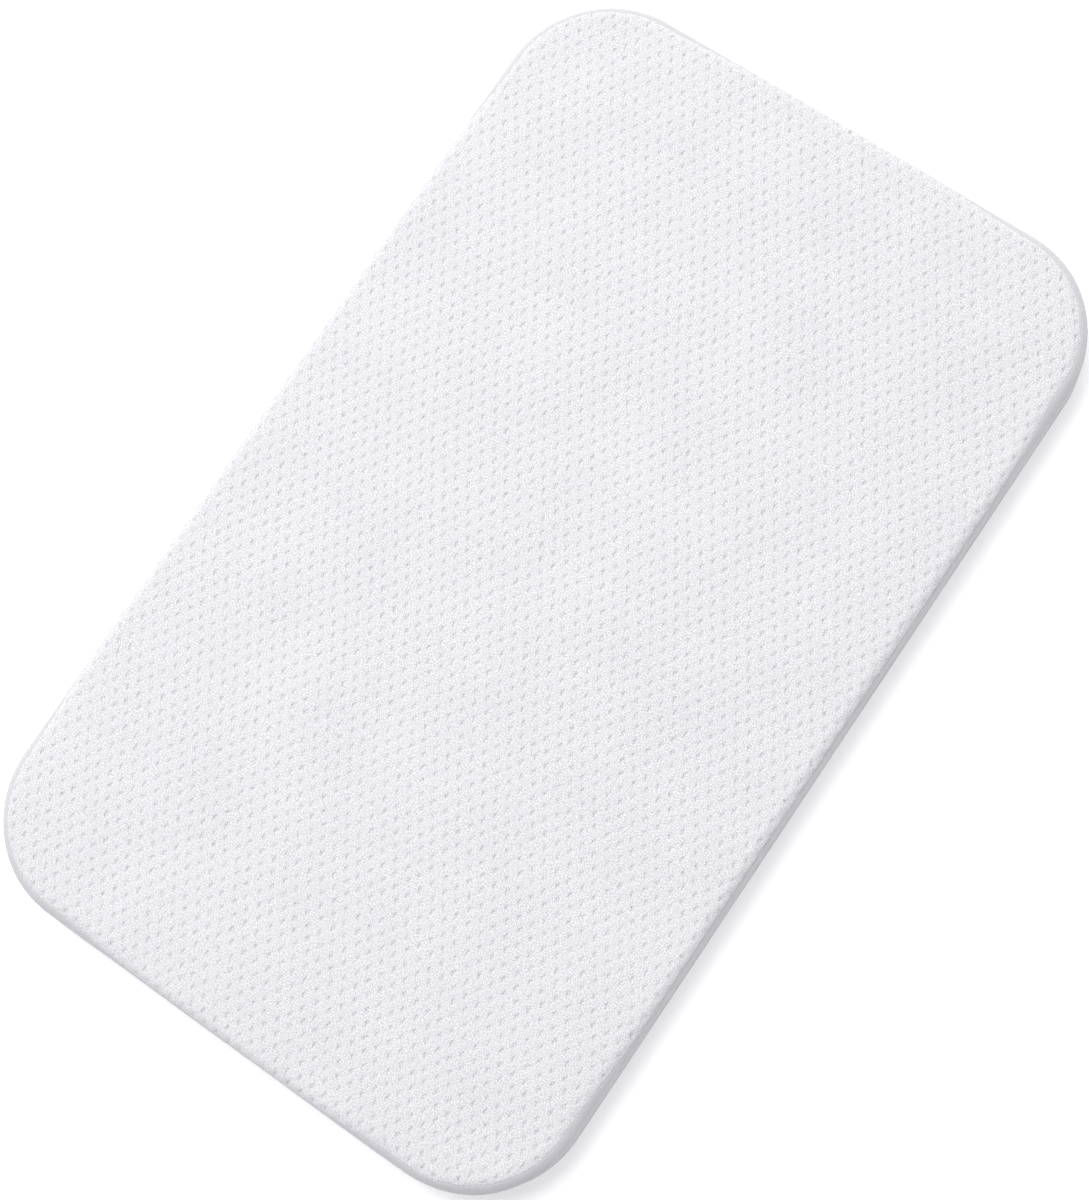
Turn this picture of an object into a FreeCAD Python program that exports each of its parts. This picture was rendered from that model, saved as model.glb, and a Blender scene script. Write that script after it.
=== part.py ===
import FreeCAD, Part
import os

# Memory foam mattress for a bassinet or bedside crib.
# A two-layer foam core sits in a thin liner, inside a removable cover with a zip along one long side.
# Frame: millimetres, +X along the length, +Y towards the side with the zip, +Z up.
# The origin is the centre of the face that the mattress lies on.

Vector = FreeCAD.Vector

# Outside of the mattress
LENGTH = 838.2
WIDTH = 508.0
HEIGHT = 50.8
CORNER_RADIUS = 88.0
TOP_ROLL = 12.0  # radius of the soft upper edge
BOTTOM_ROLL = 3.0  # radius of the lower edge

# Cover fabrics
TOP_FABRIC = 2.0
SIDE_FABRIC = 1.6
BOTTOM_FABRIC = 1.6
TOP_SEAM_HEIGHT = 46.0  # partly up the soft edge, so that the border covers its steep part
BOTTOM_SEAM_HEIGHT = BOTTOM_ROLL

# Core: liner and the two foams, in from the outside of the cover
CORE_INSET = 3.6
LINER = 0.6
FOAM_SPLIT_HEIGHT = 27.0  # where the memory foam lies on the support foam
LINER_SEAM_HEIGHT = HEIGHT / 2

# Zip: the centre of its chain, and the gap in the border that shows it
WALL = WIDTH / 2
ZIP_HEIGHT = 23.0
ZIP_HALF_LENGTH = 290.0
ZIP_GAP_HALF_HEIGHT = 6.0
TAPE_THICKNESS = 0.5
TAPE_OUTER_HALF_HEIGHT = 13.0
CHAIN_SLIT_HALF_HEIGHT = 0.8  # room for the slider's divider
COIL_HALF_HEIGHT = 3.1
COIL_DEPTH = 2.3
COIL_ROUNDING = 0.6
END_TAB_LENGTH = 14.0
END_TAB_THICKNESS = 0.8

# Slider
SLIDER_CENTRE_X = -ZIP_HALF_LENGTH + END_TAB_LENGTH + 8.0
SLIDER_CLEARANCE = 0.35
BACK_PLATE = 0.8
FRONT_PLATE = 1.0
NOSE_X = -5.5  # the divider end, which leads when the zip closes
SHOULDER_X = -2.5
TAIL_X = 5.5
NOSE_HALF_WIDTH = 3.6
SHOULDER_HALF_WIDTH = 5.2
TAIL_HALF_WIDTH = 4.4
PLATE_CORNER_ROUNDING = 0.8
FLANGE_INNER = 3.5
FLANGE_OUTER = 4.3
DIVIDER_HALF_WIDTH = 0.45
DIVIDER_END_X = -2.4

# Bail of the slider, an arch that holds the pull tab
BAIL_HALF_LENGTH = 4.1
BAIL_WALL = 1.0
BAIL_WIDTH = 1.6
BAIL_ROUNDING = 0.45

# Pull tab, flat along the zip, turning on the crossbar at its end
PULL_THICKNESS = 1.2
PULL_GAP = 0.3
PULL_LENGTH = 21.0
PULL_NECK_HALF_WIDTH = 2.5
PULL_END_HALF_WIDTH = 3.2
PULL_WINDOW_HALF_WIDTH = 1.3
PULL_WINDOW_END = 6.2
PULL_HOLE_RADIUS = 1.3
PULL_HOLE_X = 16.8

# Blank care label, a folded tape that lies on the border beside the zip, sewn on along its top
LABEL_CENTRE_X = 311.0
LABEL_WIDTH = 26.0
LABEL_TOP = 37.0
LABEL_DROP = 22.0
LABEL_THICKNESS = 0.5

FAR = 2 * LENGTH  # longer than anything in the mattress

# Depths of the zip's layers, counted outwards
TAPE_FRONT = WALL - SIDE_FABRIC
TAPE_BACK = TAPE_FRONT - TAPE_THICKNESS
COIL_FRONT = TAPE_FRONT + COIL_DEPTH
BACK_PLATE_FRONT = TAPE_BACK - SLIDER_CLEARANCE
BACK_PLATE_BACK = BACK_PLATE_FRONT - BACK_PLATE
FRONT_PLATE_BACK = COIL_FRONT + SLIDER_CLEARANCE
FRONT_PLATE_FRONT = FRONT_PLATE_BACK + FRONT_PLATE
PULL_AXIS_Y = FRONT_PLATE_FRONT + PULL_GAP + PULL_THICKNESS / 2
BAIL_UNDERSIDE = PULL_AXIS_Y + PULL_THICKNESS / 2 + PULL_GAP
BAIL_TOP = BAIL_UNDERSIDE + BAIL_WALL


def block(low, high):
    """A box between two opposite corners."""
    size = [b - a for a, b in zip(low, high)]
    return Part.makeBox(*size, Vector(*low))


def edges_at_height(shape, height):
    """The edges that lie flat at one height."""
    flat = []
    for edge in shape.Edges:
        if all(abs(vertex.Z - height) < 1e-6 for vertex in edge.Vertexes):
            flat.append(edge)
    return flat


def straight_edges(shape, axis):
    """The straight edges that run along one axis: 0 for X, 1 for Y, 2 for Z."""
    found = []
    for edge in shape.Edges:
        run = edge.Vertexes[-1].Point - edge.Vertexes[0].Point
        if run.Length > 1e-6 and abs(abs(run[axis]) - run.Length) < 1e-6:
            found.append(edge)
    return found


def pad(inset, bottom, top, bottom_roll, top_roll):
    """A slab with the plan of the mattress, moved in by inset, with rounded upper and lower edges."""
    half_length = LENGTH / 2 - inset
    half_width = WIDTH / 2 - inset
    slab = block((-half_length, -half_width, bottom), (half_length, half_width, top))
    slab = slab.makeFillet(CORNER_RADIUS - inset, straight_edges(slab, 2))
    if top_roll:
        slab = slab.makeFillet(top_roll, edges_at_height(slab, top))
    if bottom_roll:
        slab = slab.makeFillet(bottom_roll, edges_at_height(slab, bottom))
    return slab


def between_heights(shape, low, high):
    """The part of a shape between two heights."""
    return shape.common(block((-FAR, -FAR, low), (FAR, FAR, high)))


def extruded_across(points, half_height):
    """A solid whose outline is given as (x, y) points, centred on the zip's height."""
    low = ZIP_HEIGHT - half_height
    corners = [Vector(x, y, low) for x, y in points]
    outline = Part.makePolygon(corners + corners[:1])
    return Part.Face(outline).extrude(Vector(0, 0, 2 * half_height))


def extruded_outwards(points, back, front):
    """A solid whose outline is given as (x, height above the zip's centre) points, from back to front in Y."""
    corners = [Vector(x, back, ZIP_HEIGHT + z) for x, z in points]
    outline = Part.makePolygon(corners + corners[:1])
    return Part.Face(outline).extrude(Vector(0, front - back, 0))


# Cover


def cover_shell():
    """The whole cover as one skin, before it is divided at its seams."""
    outside = pad(0, 0, HEIGHT, BOTTOM_ROLL, TOP_ROLL)
    inside = pad(
        SIDE_FABRIC,
        BOTTOM_FABRIC,
        HEIGHT - TOP_FABRIC,
        BOTTOM_ROLL - BOTTOM_FABRIC,
        TOP_ROLL - TOP_FABRIC,
    )
    return outside.cut(inside)


def zip_side(low, high):
    """The space that the zip strips take from the border, between two heights."""
    return block((-ZIP_HALF_LENGTH, 0, low), (ZIP_HALF_LENGTH, FAR, high))


def top_panel(shell):
    return between_heights(shell, TOP_SEAM_HEIGHT, FAR)


def bottom_panel(shell):
    return between_heights(shell, -FAR, BOTTOM_SEAM_HEIGHT)


def border_strip(shell):
    """The long strip round the front side, both ends and the four corners."""
    ring = between_heights(shell, BOTTOM_SEAM_HEIGHT, TOP_SEAM_HEIGHT)
    return ring.cut(zip_side(-FAR, FAR))


def zip_strip_upper(shell):
    return shell.common(zip_side(ZIP_HEIGHT + ZIP_GAP_HALF_HEIGHT, TOP_SEAM_HEIGHT))


def zip_strip_lower(shell):
    return shell.common(zip_side(BOTTOM_SEAM_HEIGHT, ZIP_HEIGHT - ZIP_GAP_HALF_HEIGHT))


# Core


def liner_shell():
    """The liner as one skin, before it is divided at its seam."""
    outside = pad(CORE_INSET, BOTTOM_FABRIC, HEIGHT - TOP_FABRIC, 2.0, TOP_ROLL - TOP_FABRIC)
    return outside.cut(core())


def core():
    """Both foam layers as one block."""
    return pad(
        CORE_INSET + LINER,
        BOTTOM_FABRIC + LINER,
        HEIGHT - TOP_FABRIC - LINER,
        1.4,
        TOP_ROLL - TOP_FABRIC - LINER,
    )


def support_foam():
    return between_heights(core(), -FAR, FOAM_SPLIT_HEIGHT)


def memory_foam():
    return between_heights(core(), FOAM_SPLIT_HEIGHT, FAR)


# Zip


def zip_tape(side):
    """A tape behind the border; side is 1 for the upper one and -1 for the lower one."""
    heights = [ZIP_HEIGHT + side * CHAIN_SLIT_HALF_HEIGHT, ZIP_HEIGHT + side * TAPE_OUTER_HALF_HEIGHT]
    low, high = min(heights), max(heights)
    return block((-ZIP_HALF_LENGTH, TAPE_BACK, low), (ZIP_HALF_LENGTH, TAPE_FRONT, high))


def zip_coil(side):
    """The envelope of one nylon coil, which lies on the edge of its tape."""
    heights = [ZIP_HEIGHT + side * CHAIN_SLIT_HALF_HEIGHT, ZIP_HEIGHT + side * COIL_HALF_HEIGHT]
    low, high = min(heights), max(heights)
    bar = block((-ZIP_HALF_LENGTH, TAPE_FRONT, low), (ZIP_HALF_LENGTH, COIL_FRONT, high))
    front = [edge for edge in straight_edges(bar, 0) if edge.CenterOfMass.y > COIL_FRONT - 0.1]
    return bar.makeFillet(COIL_ROUNDING, front)


def end_tab(side):
    """A fabric tab over the cut end of the zip, in the gap of the border; side is 1 or -1 along X."""
    ends = [side * (ZIP_HALF_LENGTH - END_TAB_LENGTH), side * ZIP_HALF_LENGTH]
    reach = ZIP_GAP_HALF_HEIGHT
    arch_front = COIL_FRONT + END_TAB_THICKNESS
    outside = block(
        (min(ends), TAPE_FRONT, ZIP_HEIGHT - reach),
        (max(ends), arch_front, ZIP_HEIGHT + reach),
    )
    corners = [edge for edge in straight_edges(outside, 0) if edge.CenterOfMass.y > arch_front - 0.1]
    outside = outside.makeFillet(2.0, corners)
    chain = block(
        (min(ends), TAPE_FRONT, ZIP_HEIGHT - COIL_HALF_HEIGHT),
        (max(ends), COIL_FRONT, ZIP_HEIGHT + COIL_HALF_HEIGHT),
    )
    return outside.cut(chain)


# Slider and pull, modelled at x = 0 and then moved to the closed end


def to_closed_end(shape):
    return shape.translated(Vector(SLIDER_CENTRE_X, 0, 0))


def slider_plate(back, front):
    """A plate with a narrow nose, wide shoulders and a straight tail."""
    half_outline = [
        (NOSE_X, NOSE_HALF_WIDTH),
        (SHOULDER_X, SHOULDER_HALF_WIDTH),
        (TAIL_X, TAIL_HALF_WIDTH),
    ]
    mirrored = [(x, -z) for x, z in reversed(half_outline)]
    plate = extruded_outwards(half_outline + mirrored, back, front)
    return plate.makeFillet(PLATE_CORNER_ROUNDING, straight_edges(plate, 1))


def slider_flange(side):
    """A rim under the front plate that keeps one coil in the channel."""
    heights = [ZIP_HEIGHT + side * FLANGE_INNER, ZIP_HEIGHT + side * FLANGE_OUTER]
    return block(
        (SHOULDER_X, TAPE_FRONT + SLIDER_CLEARANCE, min(heights)),
        (TAIL_X - PLATE_CORNER_ROUNDING, FRONT_PLATE_BACK, max(heights)),
    )


def slider_divider():
    """The post between the plates that parts the coils."""
    return block(
        (NOSE_X + PLATE_CORNER_ROUNDING, BACK_PLATE_FRONT, ZIP_HEIGHT - DIVIDER_HALF_WIDTH),
        (DIVIDER_END_X, FRONT_PLATE_BACK, ZIP_HEIGHT + DIVIDER_HALF_WIDTH),
    )


def slider_bail():
    """The arch on the front plate, along the zip, which the pull's crossbar turns under."""
    outer = [
        (-BAIL_HALF_LENGTH, FRONT_PLATE_FRONT),
        (-BAIL_HALF_LENGTH, BAIL_TOP),
        (BAIL_HALF_LENGTH, BAIL_TOP),
        (BAIL_HALF_LENGTH, FRONT_PLATE_FRONT),
    ]
    inner_end = BAIL_HALF_LENGTH - BAIL_WALL
    arch = extruded_across(outer, BAIL_WIDTH / 2)
    window = block(
        (-inner_end, FRONT_PLATE_FRONT, 0),
        (inner_end, BAIL_UNDERSIDE, HEIGHT),
    )
    crown = [edge for edge in arch.Edges if edge.CenterOfMass.y > BAIL_TOP - 0.1]
    return arch.makeFillet(BAIL_ROUNDING, crown).cut(window)


def zip_slider():
    body = slider_plate(BACK_PLATE_BACK, BACK_PLATE_FRONT)
    body = body.fuse([slider_plate(FRONT_PLATE_BACK, FRONT_PLATE_FRONT), slider_divider(), slider_bail()])
    body = body.fuse([slider_flange(1), slider_flange(-1)])
    return to_closed_end(body.removeSplitter())


def pull_tab():
    """The pull: a crossbar, two rails beside a window for the bail, and a flat grip with a small hole."""
    back = PULL_AXIS_Y - PULL_THICKNESS / 2
    front = PULL_AXIS_Y + PULL_THICKNESS / 2
    half_outline = [
        (0, PULL_NECK_HALF_WIDTH),
        (PULL_WINDOW_END, PULL_NECK_HALF_WIDTH),
        (PULL_LENGTH, PULL_END_HALF_WIDTH),
    ]
    mirrored = [(x, -z) for x, z in reversed(half_outline)]
    plate = extruded_outwards(half_outline + mirrored, back, front)
    tip = [edge for edge in straight_edges(plate, 1) if edge.CenterOfMass.x > PULL_LENGTH - 0.1]
    plate = plate.makeFillet(PULL_END_HALF_WIDTH * 0.8, tip)
    window = block(
        (0, back, ZIP_HEIGHT - PULL_WINDOW_HALF_WIDTH),
        (PULL_WINDOW_END, front, ZIP_HEIGHT + PULL_WINDOW_HALF_WIDTH),
    )
    window = window.makeFillet(PULL_WINDOW_HALF_WIDTH * 0.6, straight_edges(window, 1))
    hole = Part.makeCylinder(
        PULL_HOLE_RADIUS,
        PULL_THICKNESS,
        Vector(PULL_HOLE_X, back, ZIP_HEIGHT),
        Vector(0, 1, 0),
    )
    crossbar = Part.makeCylinder(
        PULL_THICKNESS / 2,
        2 * PULL_NECK_HALF_WIDTH,
        Vector(0, PULL_AXIS_Y, ZIP_HEIGHT - PULL_NECK_HALF_WIDTH),
        Vector(0, 0, 1),
    )
    return to_closed_end(plate.cut([window, hole]).fuse(crossbar).removeSplitter())


def care_label():
    """A blank folded tape, flat on the border."""
    low = (LABEL_CENTRE_X - LABEL_WIDTH / 2, WALL, LABEL_TOP - LABEL_DROP)
    high = (LABEL_CENTRE_X + LABEL_WIDTH / 2, WALL + LABEL_THICKNESS, LABEL_TOP)
    return block(low, high)


def all_pieces():
    """Every piece by its name."""
    cover = cover_shell()
    liner = liner_shell()
    return {
        "support_foam": support_foam(),
        "memory_foam": memory_foam(),
        "liner_upper": between_heights(liner, LINER_SEAM_HEIGHT, FAR),
        "liner_lower": between_heights(liner, -FAR, LINER_SEAM_HEIGHT),
        "top_panel": top_panel(cover),
        "border_strip": border_strip(cover),
        "zip_strip_upper": zip_strip_upper(cover),
        "zip_strip_lower": zip_strip_lower(cover),
        "bottom_panel": bottom_panel(cover),
        "zip_tape_upper": zip_tape(1),
        "zip_tape_lower": zip_tape(-1),
        "zip_coil_upper": zip_coil(1),
        "zip_coil_lower": zip_coil(-1),
        "zip_end_tab_closed": end_tab(-1),
        "zip_end_tab_open": end_tab(1),
        "zip_slider": zip_slider(),
        "pull_tab": pull_tab(),
        "care_label": care_label(),
    }


def main():
    os.makedirs("parts", exist_ok=True)
    for name, shape in all_pieces().items():
        shape.exportStep(f"parts/{name}.step")
        box = shape.BoundBox
        print(
            f"{name}: {len(shape.Solids)} solid, valid {shape.isValid()}, {shape.Volume / 1000:.3f} cm3,",
            f"x {box.XMin:.2f} {box.XMax:.2f}, y {box.YMin:.2f} {box.YMax:.2f}, z {box.ZMin:.2f} {box.ZMax:.2f}",
        )


main()
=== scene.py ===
import math

import bpy
import numpy as np
from mathutils import Matrix, Vector


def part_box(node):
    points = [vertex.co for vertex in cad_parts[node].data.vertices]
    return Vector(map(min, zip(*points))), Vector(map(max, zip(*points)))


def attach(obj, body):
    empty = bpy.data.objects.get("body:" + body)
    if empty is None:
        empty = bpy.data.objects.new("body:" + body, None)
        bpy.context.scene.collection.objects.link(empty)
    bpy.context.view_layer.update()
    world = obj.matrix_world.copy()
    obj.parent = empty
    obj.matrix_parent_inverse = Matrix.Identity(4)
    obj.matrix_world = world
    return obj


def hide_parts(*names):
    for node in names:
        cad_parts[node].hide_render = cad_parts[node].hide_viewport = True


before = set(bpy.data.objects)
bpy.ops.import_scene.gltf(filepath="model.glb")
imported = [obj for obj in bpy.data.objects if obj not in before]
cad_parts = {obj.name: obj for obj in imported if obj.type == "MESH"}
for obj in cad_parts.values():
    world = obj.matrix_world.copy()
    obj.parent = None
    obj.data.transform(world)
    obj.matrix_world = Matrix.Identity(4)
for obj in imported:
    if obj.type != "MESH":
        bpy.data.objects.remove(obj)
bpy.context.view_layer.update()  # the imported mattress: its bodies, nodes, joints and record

# The looks of a small memory foam mattress in a zipped cover. Everything is in metres, in the frame of the CAD
# model: +X along the length, +Y towards the side with the zip, +Z up, and the origin under the centre.

MM = 0.001
QUARTER = math.pi / 2

# Sizes of the cover, read from the frame
HALF_LENGTH, HALF_WIDTH, TOP_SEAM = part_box("border_strip")[1]
BOTTOM_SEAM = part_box("border_strip")[0].z
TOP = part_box("top_panel")[1].z
ZIP_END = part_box("zip_strip_upper")[1].x
GAP_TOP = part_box("zip_strip_upper")[0].z
GAP_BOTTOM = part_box("zip_strip_lower")[1].z
ZIP_HEIGHT = (GAP_TOP + GAP_BOTTOM) / 2

# Rounding of the cover, as in the CAD model
CORNER = 88 * MM
TOP_ROLL = 12 * MM  # at the corners
SIDE_ROLL = 8.5 * MM  # along the sides, where the foam fills the cover better
BOTTOM_ROLL = BOTTOM_SEAM
CENTRE_X = HALF_LENGTH - CORNER  # the corners are round about these points
CENTRE_Y = HALF_WIDTH - CORNER
CORNER_ARC = CORNER * QUARTER
OUTLINE_LENGTH = 4 * (CENTRE_X + CENTRE_Y + CORNER_ARC)

# How far the top panel has turned down at its seam, which lies higher up the roll at the corners
SEAM_TURN = math.acos(1 - (TOP - TOP_SEAM) / SIDE_ROLL)
CORNER_SEAM_TURN = math.radians(31)
CORNER_REACH = 110 * MM  # the length of side over which the roll and the seam change towards a corner

# Thickness of the fabrics, and the rounded lips of their turned-in edges
TOP_FABRIC = 1.8 * MM
SIDE_FABRIC = 1.2 * MM
BOTTOM_FABRIC = 1.2 * MM
SEAM_LIP = 0.5 * MM
FOLD_LIP = 1.0 * MM

# The field of dimples in the top panel
PITCH_X = 17 * MM
PITCH_Y = 11 * MM
HOLE_DEPTH = 1.2 * MM
DENT_DEPTH = 0.15 * MM
PUFF_HEIGHT = 0.14 * MM
EDGE_PUFF = 0.42 * MM  # the puffs stand out more where the fabric is bent over the edge
STITCH_HOLES = [(0.0, 0.0, 1.0), (-1.8, -0.7, 0.7), (1.8, -0.7, 0.7), (0.0, -1.8, 0.3)]  # place in mm, depth

# The zip: one coil's turns and the thread of the seam beside it
COIL_PITCH = 1.4 * MM
COIL_WIRE = 0.28 * MM
COIL_GAP = 0.55 * MM  # each coil stops this far from the middle, clear of the slider's divider
STITCH_PITCH = 3.0 * MM
TOPSTITCH = 2.5 * MM  # from the folded edge to the row of stitches
THREAD = 0.2 * MM

FINE_CELLS = 6  # closely spaced cells of a panel next to each of its edges


# ---------------------------------------------------------------- meshes


def build_mesh(name, points, polygons, uv=None, values=None):
    """A smooth-shaded object. polygons is a list of face arrays, and uv and values hold one entry per point."""
    mesh = bpy.data.meshes.new(name)
    points = np.asarray(points, np.float32).reshape(-1, 3)
    sizes = np.concatenate([np.full(len(faces), faces.shape[1]) for faces in polygons])
    corners = np.concatenate([faces.ravel() for faces in polygons]).astype(np.int32)
    starts = np.concatenate([[0], np.cumsum(sizes)[:-1]]).astype(np.int32)
    mesh.vertices.add(len(points))
    mesh.vertices.foreach_set("co", points.ravel())
    mesh.loops.add(len(corners))
    mesh.loops.foreach_set("vertex_index", corners)
    mesh.polygons.add(len(sizes))
    mesh.polygons.foreach_set("loop_start", starts)
    mesh.update(calc_edges=True)
    if uv is not None:
        layer = mesh.uv_layers.new(name="Fabric")
        layer.data.foreach_set("uv", np.asarray(uv, np.float32).reshape(-1, 2)[corners].ravel())
    for key, value in (values or {}).items():
        attribute = mesh.attributes.new(key, "FLOAT", "POINT")
        attribute.data.foreach_set("value", np.asarray(value, np.float32).ravel())
    mesh.shade_smooth()
    piece = bpy.data.objects.new(name, mesh)
    bpy.context.scene.collection.objects.link(piece)
    return piece


def grid_faces(rows, columns, first=0, wrap=False):
    """Faces of a grid of points stored row by row; wrap joins the last column to the first."""
    index = first + np.arange(rows * columns).reshape(rows, columns)
    if wrap:
        index = np.concatenate([index, index[:, :1]], axis=1)
    quads = [index[:-1, :-1], index[1:, :-1], index[1:, 1:], index[:-1, 1:]]
    return np.stack(quads, axis=-1).reshape(-1, 4)


def rim_loop(rows, columns, first=0):
    """The indices round the edge of a grid, as one closed loop."""
    index = first + np.arange(rows * columns).reshape(rows, columns)
    return np.concatenate([index[:-1, 0], index[-1, :-1], index[:0:-1, -1], index[0, :0:-1]])


def rim_faces(fine, coarse, step):
    """Triangles between two closed loops, where step edges of the fine loop match one edge of the coarse one."""
    faces = []
    half = step // 2
    for i, start in enumerate(coarse):
        end = coarse[(i + 1) % len(coarse)]
        for j in range(step):
            a = fine[i * step + j]
            b = fine[(i * step + j + 1) % len(fine)]
            faces.append((a, b, start if j < half else end))
        faces.append((fine[(i * step + half) % len(fine)], end, start))
    return np.array(faces)


def outwards(points, polygons):
    """The same faces, turned so that their normals point out of the closed mesh."""
    flat = np.asarray(points, float).reshape(-1, 3)
    volume = 0.0
    for faces in polygons:
        for k in range(1, faces.shape[1] - 1):
            a, b, c = flat[faces[:, 0]], flat[faces[:, k]], flat[faces[:, k + 1]]
            volume += (a * np.cross(b, c)).sum()
    return polygons if volume > 0 else [faces[:, ::-1] for faces in polygons]


def sheet_mesh(name, outer, inner, step, uv, values=None):
    """A closed sheet: a fine outer grid, every step-th point of an inner grid, and the rim that joins them."""
    inner = inner[::step, ::step]
    rows, columns = outer.shape[:2]
    inner_rows, inner_columns = inner.shape[:2]
    first = rows * columns
    points = np.concatenate([outer.reshape(-1, 3), inner.reshape(-1, 3)])
    polygons = [
        grid_faces(rows, columns),
        grid_faces(inner_rows, inner_columns, first)[:, ::-1],
        rim_faces(rim_loop(rows, columns), rim_loop(inner_rows, inner_columns, first), step),
    ]
    all_uv = np.concatenate([uv.reshape(-1, 2), uv[::step, ::step].reshape(-1, 2)])
    all_values = {}
    for key, value in (values or {}).items():
        all_values[key] = np.concatenate([value.ravel(), value[::step, ::step].ravel()])
    return build_mesh(name, points, outwards(points, polygons), all_uv, all_values)


def tube_parts(path, side, out, radius, sides, first):
    """Points and faces of a closed tube along a path, where side and out span its section."""
    turns = np.arange(sides) * 2 * math.pi / sides
    ring = side * np.cos(turns)[:, None] + out * np.sin(turns)[:, None]
    points = path[:, None] + np.broadcast_to(radius, (len(path),))[:, None, None] * ring
    count = len(path)
    start_cap = first + np.arange(sides)[None, :]
    end_cap = first + (count - 1) * sides + np.arange(sides)[None, ::-1]
    return points.reshape(-1, 3), [grid_faces(count, sides, first, wrap=True), start_cap, end_cap]


def smooth_noise(points, wavelength, seed, count=7):
    """A smooth random field of about -1 to 1: a few sine waves in random directions."""
    rng = np.random.default_rng(seed)
    total = 0
    for _ in range(count):
        direction = rng.normal(size=points.shape[-1])
        direction /= np.linalg.norm(direction)
        turn = 2 * math.pi / (wavelength * rng.uniform(0.7, 1.5))
        total = total + np.sin(points @ direction * turn + rng.uniform(0, 2 * math.pi))
    return total / math.sqrt(count)


# ---------------------------------------------------------------- surface of the cover


def outline(distance):
    """The point that each part of the outline is round about, and its outward direction.

    Distances run clockwise from the middle of the +Y side.
    """
    x, y = CENTRE_X, CENTRE_Y
    runs = [x, CORNER_ARC, 2 * y, CORNER_ARC, 2 * x, CORNER_ARC, 2 * y, CORNER_ARC, x]
    stops = np.concatenate([[0], np.cumsum(runs)])
    distance = np.mod(distance, OUTLINE_LENGTH)
    centre_x = np.interp(distance, stops, [0, x, x, x, x, -x, -x, -x, -x, 0])
    centre_y = np.interp(distance, stops, [y, y, y, -y, -y, -y, -y, y, y, y])
    angle = np.interp(distance, stops, [1, 1, 0, 0, -1, -1, -2, -2, -3, -3]) * QUARTER
    return np.stack([centre_x, centre_y], -1), np.stack([np.cos(angle), np.sin(angle)], -1)


def wrap(centre, direction, past, roll, level, side, inset=0.0):
    """Fabric that runs out from the flat and turns over a rounded edge, and its outward normals.

    past is the distance beyond the flat, and side is 1 for the upper edge and -1 for the lower one.
    """
    turn = np.clip(past / roll, 0, QUARTER)
    reach = CORNER - inset - roll + np.minimum(past, 0) + roll * np.sin(turn)
    drop = roll * (1 - np.cos(turn)) + np.maximum(past - roll * QUARTER, 0)
    points = np.concatenate([centre + direction * reach[..., None], (level - side * drop)[..., None]], -1)
    normals = np.concatenate([direction * np.sin(turn)[..., None], side * np.cos(turn)[..., None]], -1)
    return points, normals


def cornerness(centre, direction):
    """1 at the corners and 0 along the sides, with a smooth change between them."""
    along_x = np.clip((CENTRE_X - np.abs(centre[..., 0])) / CORNER_REACH, 0, 1)
    along_y = np.clip((CENTRE_Y - np.abs(centre[..., 1])) / CORNER_REACH, 0, 1)
    away = np.where(np.abs(direction[..., 1]) > np.abs(direction[..., 0]), along_x, along_y)
    return (1 - away) ** 2 * (1 + 2 * away)


def top_roll(centre, direction):
    """The radius that the cover is bent to at the top edge."""
    return SIDE_ROLL + (TOP_ROLL - SIDE_ROLL) * cornerness(centre, direction)


def at_top_seam(centre, direction):
    """How far past the flat the top seam lies, along the fabric."""
    turn = SEAM_TURN + (CORNER_SEAM_TURN - SEAM_TURN) * cornerness(centre, direction)
    return top_roll(centre, direction) * turn


def at_height(height):
    """How far past the flat the wall reaches this height, as a function of centre and direction."""

    def place(centre, direction):
        roll = top_roll(centre, direction)
        return roll * QUARTER + TOP - roll - height

    return place


def seam_tail(lip, thickness):
    """The length of fabric from the start of a turned-in lip to its cut end."""
    return lip * QUARTER + thickness - lip


def turn_in(distance, low, high, lip):
    """Where fabric lies whose ends are turned in at low and high, and how deep below the surface it goes."""
    on_low = np.maximum(low + lip - distance, 0)
    on_high = np.maximum(distance - (high - lip), 0)
    place = np.clip(distance, low + lip, high - lip)
    depth = 0
    for past, sign in ((on_low, -1), (on_high, 1)):
        turn = np.clip(past / lip, 0, QUARTER)
        place = place + sign * lip * np.sin(turn)
        depth = depth + lip * (1 - np.cos(turn)) + np.maximum(past - lip * QUARTER, 0)
    return place, depth


def spaced(cells, edge):
    """Fractions from 0 to 1 with closely spaced ones in an edge at both ends."""
    fine = np.linspace(0, edge, FINE_CELLS, endpoint=False)
    middle = np.linspace(edge, 1 - edge, cells - 2 * FINE_CELLS, endpoint=False)
    return np.concatenate([fine, middle, 1 - edge + np.append(fine, edge)])


def panel_plan(cells_x, cells_y, radius, edge):
    """A grid of flat fabric that fills a rounded rectangle, as centres, directions and distances from them."""
    x = (2 * spaced(cells_x, edge / 2 / (CENTRE_X + radius)) - 1) * (CENTRE_X + radius)
    y = (2 * spaced(cells_y, edge / 2 / (CENTRE_Y + radius)) - 1) * (CENTRE_Y + radius)
    x, y = np.meshgrid(x, y, indexing="ij")
    centre = np.stack([np.clip(x, -CENTRE_X, CENTRE_X), np.clip(y, -CENTRE_Y, CENTRE_Y)], -1)
    over_x, over_y = (x - centre[..., 0]) / radius, (y - centre[..., 1]) / radius
    round_x = over_x * np.sqrt(1 - over_y**2 / 2)
    round_y = over_y * np.sqrt(1 - over_x**2 / 2)
    away = np.stack([round_x, round_y], -1) * radius
    distance = np.linalg.norm(away, axis=-1)
    direction = away / np.maximum(distance, 1e-9)[..., None]
    return centre, direction, distance


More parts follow.
